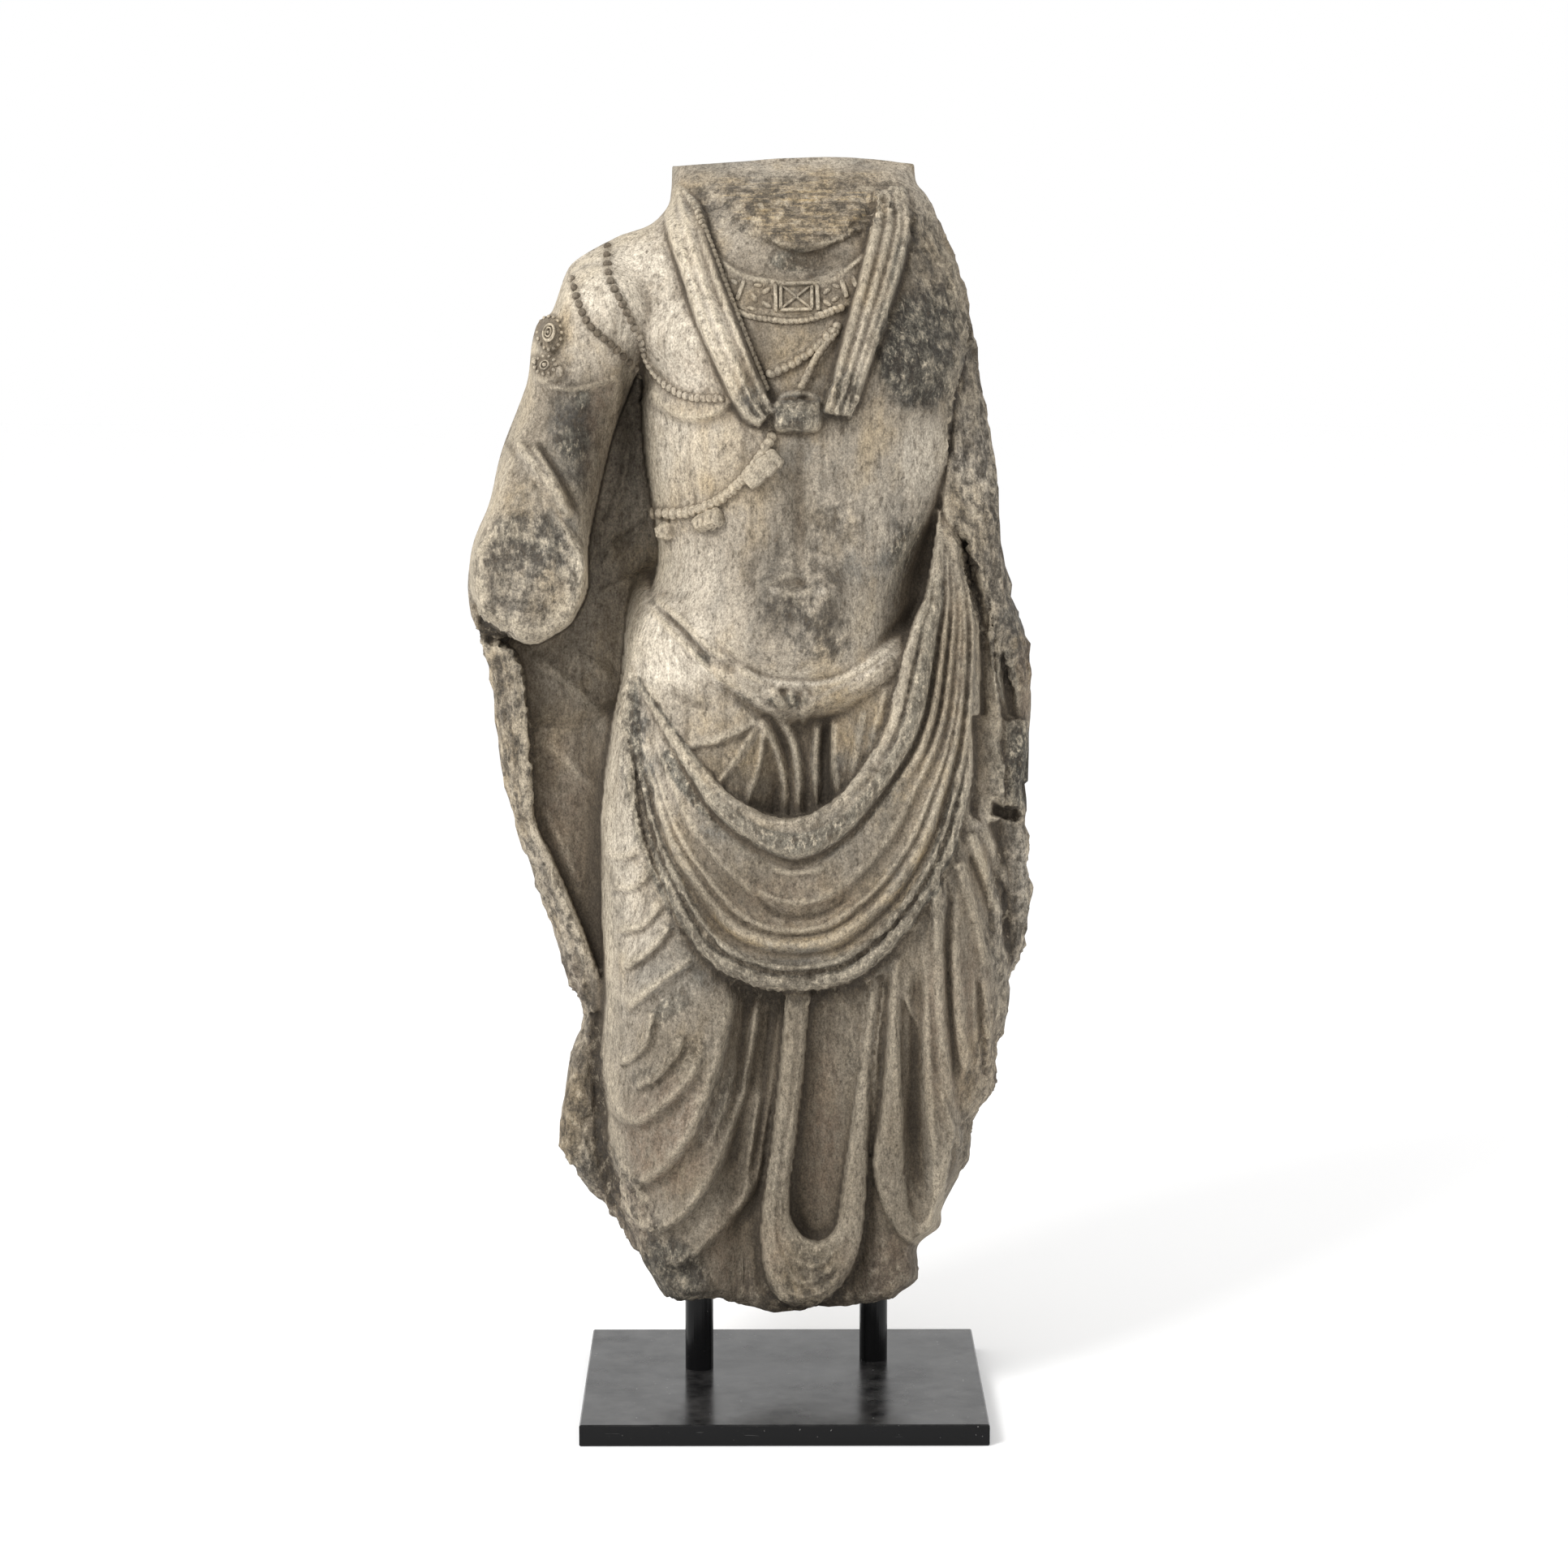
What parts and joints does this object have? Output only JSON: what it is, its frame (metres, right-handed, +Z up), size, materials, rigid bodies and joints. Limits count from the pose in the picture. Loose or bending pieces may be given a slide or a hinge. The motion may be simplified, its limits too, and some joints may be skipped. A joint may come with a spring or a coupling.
{
  "type": "schist bodhisattva torso",
  "caption": "Carved grey schist torso of a standing bodhisattva, broken at neck, arms and feet, with draped shawl and pleated skirt, held up by rods on a flat black plate.",
  "frame": {"origin": "middle of the plate's underside", "axes": "+Z up, the figure faces -Y, +X to the right as seen from the front"},
  "size_m": [0.3926, 0.26, 0.8733],
  "materials": {
    "schist": "matte, worn, with ochre deposits and a darker patina",
    "black_steel": "satin black"
  },
  "bodies": {
    "root": {"stone_torso": "schist", "left_rod": "black_steel", "right_rod": "black_steel", "base_plate": "black_steel"}
  },
  "joints": []
}
